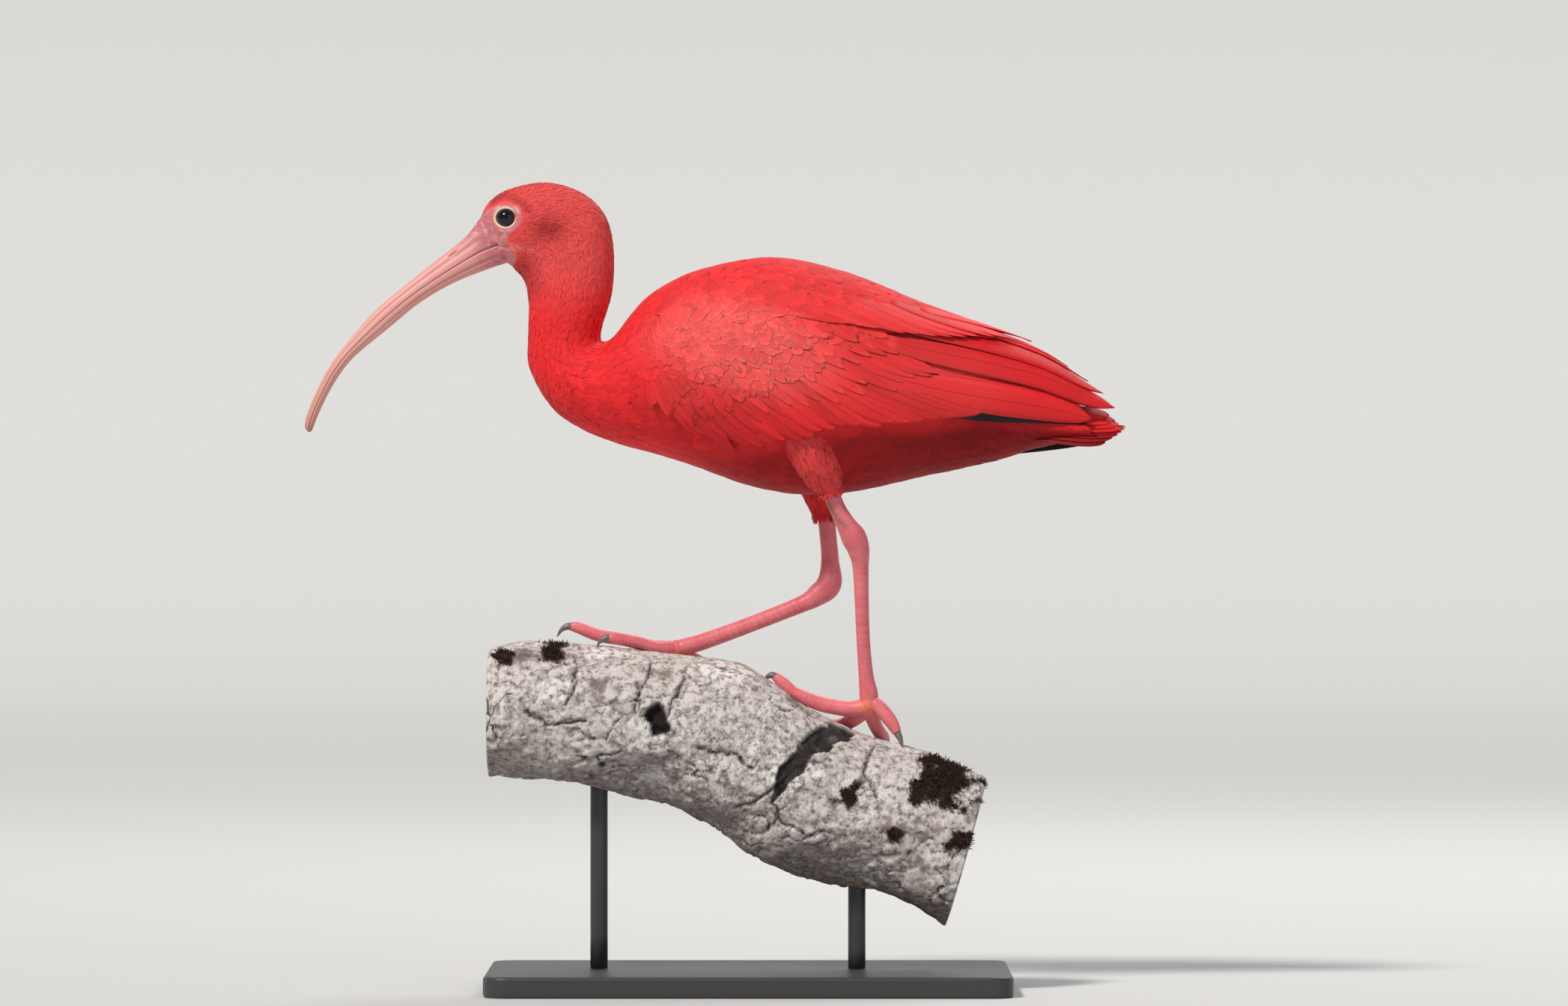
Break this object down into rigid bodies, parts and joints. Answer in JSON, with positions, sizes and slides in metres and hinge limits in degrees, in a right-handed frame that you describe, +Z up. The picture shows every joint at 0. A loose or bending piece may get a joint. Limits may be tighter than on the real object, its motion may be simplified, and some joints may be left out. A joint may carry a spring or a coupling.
{
  "type": "scarlet ibis model",
  "caption": "Life-size still model of a scarlet ibis with a long down-curved bill, folded wings and long legs, stepping along a cut branch held by a flat base and rods",
  "frame": {"origin": "middle of the underside of the display base, on the mid-plane", "axes": "+Z up; +X toward the tail, so the bill points to -X; +Y toward the bird's right side"},
  "size_m": [0.4687, 0.19, 0.4637],
  "materials": {
    "plumage": "soft scarlet feathers, paler and pinkish on the wing coverts, black on the tips of the outermost flight feathers",
    "bill_horn": "satin pale pink to peach horn, browner at the tip",
    "eye": "glossy near-black brown",
    "leg_skin": "satin pink-red skin with fine plates",
    "claw_horn": "satin dark grey horn",
    "bark": "rough pale grey weathered bark with dark fissures and moss",
    "stand_paint": "satin dark grey paint"
  },
  "bodies": {
    "root": {"head": "plumage", "neck_upper": "plumage", "neck_lower": "plumage", "torso": "plumage", "wing_left": "plumage", "wing_right": "plumage", "tail": "plumage", "thigh_left": "plumage", "thigh_right": "plumage", "upper_bill": "bill_horn", "lower_bill": "bill_horn", "eye_left": "eye", "eye_right": "eye", "shin_left": "leg_skin", "tarsus_left": "leg_skin", "foot_left": "leg_skin", "claw_left_outer": "claw_horn", "claw_left_middle": "claw_horn", "claw_left_inner": "claw_horn", "claw_left_hind": "claw_horn", "shin_right": "leg_skin", "tarsus_right": "leg_skin", "foot_right": "leg_skin", "claw_right_outer": "claw_horn", "claw_right_middle": "claw_horn", "claw_right_inner": "claw_horn", "claw_right_hind": "claw_horn", "perch": "bark", "stand_base": "stand_paint", "stand_rod_front": "stand_paint", "stand_rod_rear": "stand_paint"}
  },
  "joints": []
}
